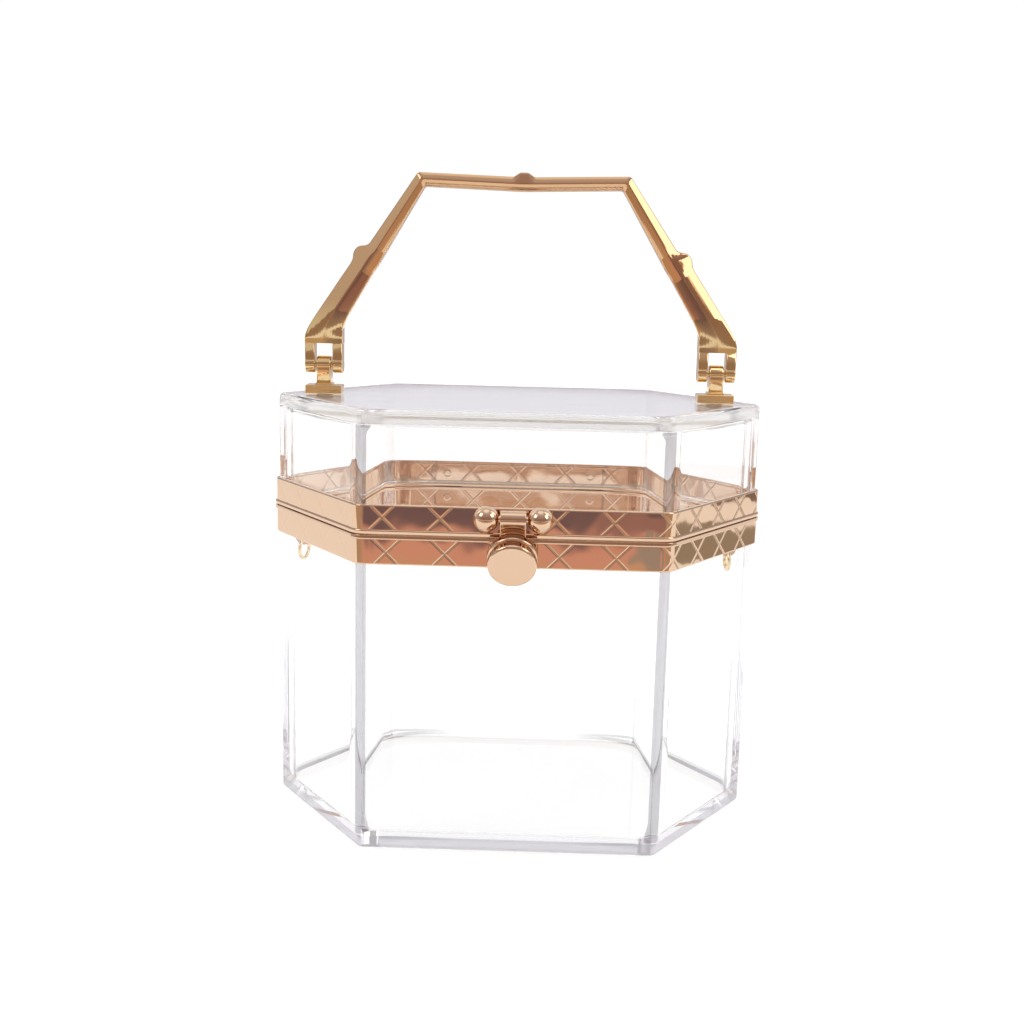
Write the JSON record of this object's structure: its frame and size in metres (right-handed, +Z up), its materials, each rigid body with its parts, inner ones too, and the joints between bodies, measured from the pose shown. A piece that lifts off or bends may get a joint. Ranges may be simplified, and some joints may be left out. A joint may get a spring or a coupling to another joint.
{
  "type": "wedding card box",
  "caption": "Clear six-sided box with a hinged lid, gold edge frames, a ball hasp with a round knob, hanging strap rings and a folding arched handle.",
  "frame": {"origin": "middle of the base's underside, which rests on the table", "axes": "+Z up, -Y towards the clasp at the front, +X to the right as seen from the front"},
  "size_m": [0.1628, 0.1125, 0.2116],
  "materials": {
    "clear_plastic": "clear moulded acrylic, polished",
    "rose_gold": "mirror-polished light rose gold plate",
    "pale_gold": "polished pale gold plate on a casting",
    "steel": "bright nickel plate"
  },
  "bodies": {
    "base": {"base_shell": "clear_plastic", "lower_frame": "rose_gold", "lower_hinge_leaf_left": "rose_gold", "lower_hinge_leaf_right": "rose_gold", "lower_rivets": "rose_gold", "hinge_pin_left": "rose_gold", "hinge_pin_right": "rose_gold", "catch_magnet": "steel", "ring_lug_left": "rose_gold", "ring_lug_right": "rose_gold"},
    "lid": {"lid_shell": "clear_plastic", "upper_frame": "rose_gold", "upper_hinge_leaf_left": "rose_gold", "upper_hinge_leaf_right": "rose_gold", "upper_rivets": "rose_gold", "clasp_ball_left": "rose_gold", "clasp_ball_right": "rose_gold", "clasp_pin": "rose_gold", "handle_mount_left": "pale_gold", "handle_mount_right": "pale_gold", "mount_screw_left": "steel", "mount_screw_right": "steel"},
    "hasp": {"hasp_leaf": "rose_gold", "clasp_knob": "rose_gold"},
    "handle": {"handle_bow": "pale_gold", "handle_pin_left": "pale_gold", "handle_pin_right": "pale_gold"},
    "ring_left": {"strap_ring_left": "pale_gold"},
    "ring_right": {"strap_ring_right": "pale_gold"}
  },
  "joints": [
    {"name": "lid_hinge", "type": "hinge", "parent": "base", "child": "lid", "pos_m": [0, 0.05015, 0.1016], "axis": [-1, 0, 0], "range_deg": [0, 105]},
    {"name": "clasp_flip", "type": "hinge", "parent": "lid", "child": "hasp", "pos_m": [0, -0.0541, 0.1083], "axis": [-1, 0, 0], "range_deg": [0, 130]},
    {"name": "handle_swing", "type": "hinge", "parent": "lid", "child": "handle", "pos_m": [0, 0, 0.1486], "axis": [1, 0, 0], "range_deg": [-95, 95]},
    {"name": "ring_left_swing", "type": "hinge", "parent": "base", "child": "ring_left", "pos_m": [-0.07, 0, 0.0897], "axis": [-0.2924, -0.9563, 0], "range_deg": [-15, 60]},
    {"name": "ring_right_swing", "type": "hinge", "parent": "base", "child": "ring_right", "pos_m": [0.07, 0, 0.0897], "axis": [-0.0698, 0.9976, 0], "range_deg": [-15, 60]}
  ]
}
